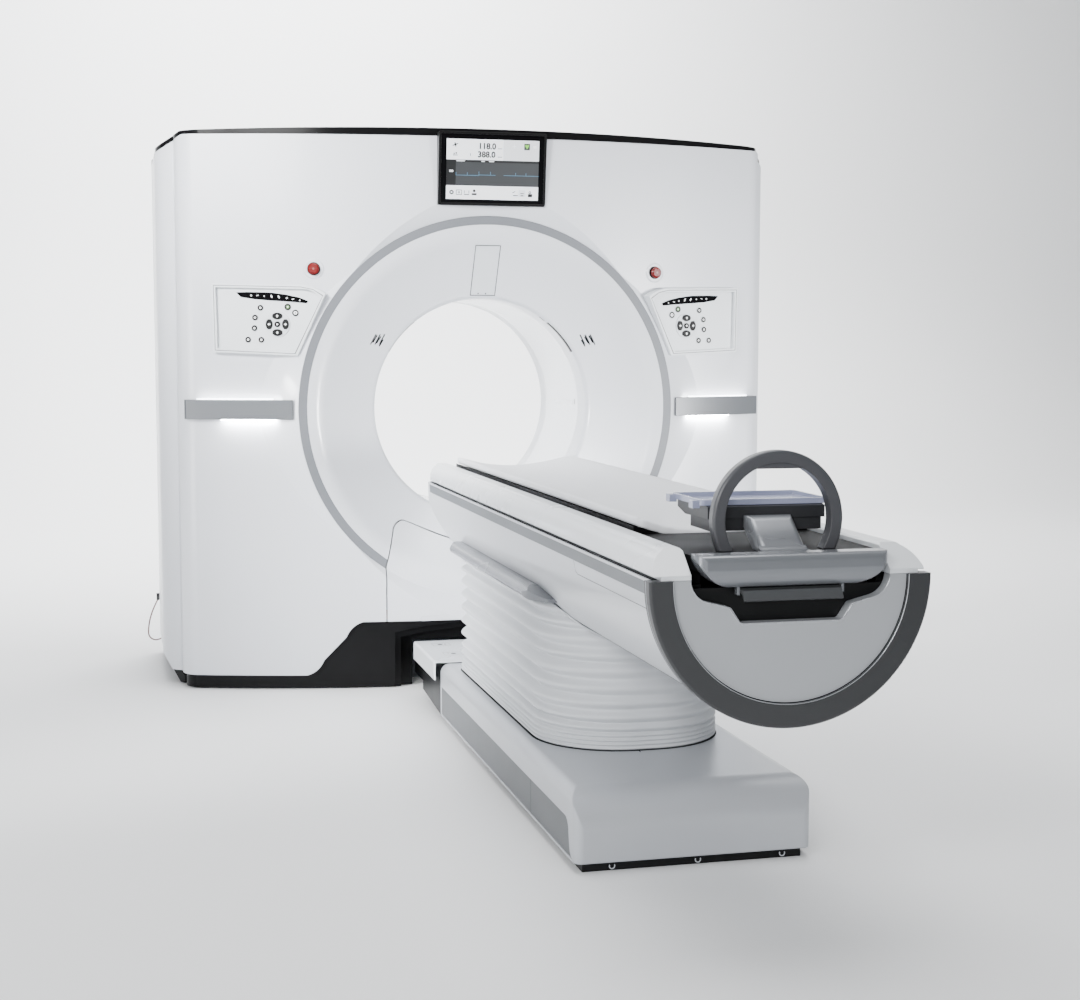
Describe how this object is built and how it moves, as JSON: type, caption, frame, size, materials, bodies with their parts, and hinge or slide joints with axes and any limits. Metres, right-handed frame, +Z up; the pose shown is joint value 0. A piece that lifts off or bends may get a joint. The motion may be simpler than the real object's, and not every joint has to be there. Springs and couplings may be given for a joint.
{
  "type": "ct scanner",
  "caption": "Ring-shaped body scanner with a wide bore, touch panel and control pods, and a lifting patient table whose cradle slides into the bore.",
  "frame": {"origin": "on the floor under the isocentre, in the scan plane", "axes": "+X to the right facing the gantry, +Y into the bore, +Z up"},
  "size_m": [2.3756, 3.854, 2.006],
  "materials": {
    "cover_white": "smooth satin paint on moulded covers",
    "trim_grey": "satin",
    "gloss_black": "gloss",
    "pad_grey": "satin",
    "pod_white": "satin",
    "key_grey": "gloss",
    "estop_red": "gloss",
    "glass_black": "gloss",
    "frame_steel": "powder coat",
    "column_steel": "ground",
    "bearing_steel": "ground",
    "copper_coil": "varnished",
    "drum_aluminium": "machined",
    "tube_housing": "satin",
    "detector_dark": "satin",
    "base_silver": "satin metallic paint",
    "panel_grey": "satin",
    "table_white": "satin",
    "frame_dark": "satin",
    "end_grey": "satin",
    "bellows_white": "coated fabric",
    "cradle_black": "satin",
    "mattress_white": "coated fabric",
    "bar_silver": "satin metallic paint",
    "tray_grey": "satin",
    "cord_dark": "matte"
  },
  "bodies": {
    "stand": {"floor_frame": "frame_steel", "stator_frame": "frame_steel", "bearing_outer_race": "bearing_steel", "drive_stator": "copper_coil", "front_cover": "cover_white", "ring_trim": "trim_grey", "front_funnel": "cover_white", "funnel_window": "cover_white", "front_door": "cover_white", "bore_liner": "cover_white", "rear_cover": "cover_white", "side_cover_left": "cover_white", "side_cover_right": "cover_white", "top_cap": "gloss_black", "plinth": "gloss_black", "display_housing": "gloss_black", "display_glass": "glass_black", "ledge_right": "pad_grey", "ledge_left": "pad_grey", "service_cord": "cord_dark", "cord_glands": "cord_dark", "base_frame": "frame_dark", "base_cover": "base_silver", "base_side_panels": "panel_grey", "bridge_cover": "table_white", "control_pod_left": "pod_white", "control_pod_right": "pod_white"},
    "lift_middle": {"lift_middle_column": "column_steel"},
    "table_top": {"table_frame": "frame_dark", "hull_shell": "table_white", "end_frame": "frame_dark", "end_panel": "end_grey", "rail_right": "table_white", "rail_left": "table_white", "side_grips": "pad_grey", "bellows": "bellows_white"},
    "cradle": {"cradle": "cradle_black", "mattress": "mattress_white", "handle_bar": "bar_silver", "hoop": "frame_dark", "tray_support": "frame_dark", "tray": "tray_grey"},
    "release_lever": {"release_lever": "frame_dark"},
    "rotor": {"rotor_drum": "drum_aluminium", "slip_ring": "detector_dark", "xray_tube": "tube_housing", "detector_arc": "detector_dark", "hv_generator": "tube_housing"},
    "estop_left": {"estop_left": "estop_red"},
    "estop_right": {"estop_right": "estop_red"},
    "key_left_up": {"key_left_up": "key_grey"},
    "key_left_down": {"key_left_down": "key_grey"},
    "key_left_in": {"key_left_in": "key_grey"},
    "key_left_out": {"key_left_out": "key_grey"},
    "key_left_centre": {"key_left_centre": "key_grey"},
    "key_right_up": {"key_right_up": "key_grey"},
    "key_right_down": {"key_right_down": "key_grey"},
    "key_right_in": {"key_right_in": "key_grey"},
    "key_right_out": {"key_right_out": "key_grey"},
    "key_right_centre": {"key_right_centre": "key_grey"}
  },
  "joints": [
    {"name": "table_lift", "type": "slide", "parent": "stand", "child": "table_top", "axis": [0, 0, 1], "range_m": [-0.17, 0.1], "deforming": ["bellows"]},
    {"name": "lift_stage", "type": "slide", "parent": "stand", "child": "lift_middle", "axis": [0, 0, 1], "range_m": [-0.085, 0.05]},
    {"name": "cradle_travel", "type": "slide", "parent": "table_top", "child": "cradle", "axis": [0, 1, 0], "range_m": [0, 1.6]},
    {"name": "gantry_spin", "type": "hinge", "parent": "stand", "child": "rotor", "pos_m": [0, 0.06, 1.011], "axis": [0, 1, 0], "continuous": true},
    {"name": "cradle_release", "type": "hinge", "parent": "cradle", "child": "release_lever", "pos_m": [0, -3.338, 0.753], "axis": [-1, 0, 0], "range_deg": [0, 15], "stiffness_Nm_per_rad": 1.5, "springref_deg": -2.86},
    {"name": "estop_left_press", "type": "slide", "parent": "stand", "child": "estop_left", "axis": [0.1911, 0.9816, 0], "range_m": [0, 0.005], "stiffness_N_per_m": 1500, "springref_m": -0.001},
    {"name": "key_left_up_press", "type": "slide", "parent": "stand", "child": "key_left_up", "axis": [0.2756, 0.9613, 0], "range_m": [0, 0.0015], "stiffness_N_per_m": 800, "springref_m": -0.0006},
    {"name": "key_left_down_press", "type": "slide", "parent": "stand", "child": "key_left_down", "axis": [0.2756, 0.9613, 0], "range_m": [0, 0.0015], "stiffness_N_per_m": 800, "springref_m": -0.0006},
    {"name": "key_left_in_press", "type": "slide", "parent": "stand", "child": "key_left_in", "axis": [0.2756, 0.9613, 0], "range_m": [0, 0.0015], "stiffness_N_per_m": 800, "springref_m": -0.0006},
    {"name": "key_left_out_press", "type": "slide", "parent": "stand", "child": "key_left_out", "axis": [0.2756, 0.9613, 0], "range_m": [0, 0.0015], "stiffness_N_per_m": 800, "springref_m": -0.0006},
    {"name": "key_left_centre_press", "type": "slide", "parent": "stand", "child": "key_left_centre", "axis": [0.2756, 0.9613, 0], "range_m": [0, 0.0015], "stiffness_N_per_m": 800, "springref_m": -0.0006},
    {"name": "estop_right_press", "type": "slide", "parent": "stand", "child": "estop_right", "axis": [-0.1911, 0.9816, 0], "range_m": [0, 0.005], "stiffness_N_per_m": 1500, "springref_m": -0.001},
    {"name": "key_right_up_press", "type": "slide", "parent": "stand", "child": "key_right_up", "axis": [-0.2756, 0.9613, 0], "range_m": [0, 0.0015], "stiffness_N_per_m": 800, "springref_m": -0.0006},
    {"name": "key_right_down_press", "type": "slide", "parent": "stand", "child": "key_right_down", "axis": [-0.2756, 0.9613, 0], "range_m": [0, 0.0015], "stiffness_N_per_m": 800, "springref_m": -0.0006},
    {"name": "key_right_in_press", "type": "slide", "parent": "stand", "child": "key_right_in", "axis": [-0.2756, 0.9613, 0], "range_m": [0, 0.0015], "stiffness_N_per_m": 800, "springref_m": -0.0006},
    {"name": "key_right_out_press", "type": "slide", "parent": "stand", "child": "key_right_out", "axis": [-0.2756, 0.9613, 0], "range_m": [0, 0.0015], "stiffness_N_per_m": 800, "springref_m": -0.0006},
    {"name": "key_right_centre_press", "type": "slide", "parent": "stand", "child": "key_right_centre", "axis": [-0.2756, 0.9613, 0], "range_m": [0, 0.0015], "stiffness_N_per_m": 800, "springref_m": -0.0006}
  ],
  "couplings": [
    {"joint": "lift_stage", "follows": "table_lift", "ratio": 0.5}
  ]
}
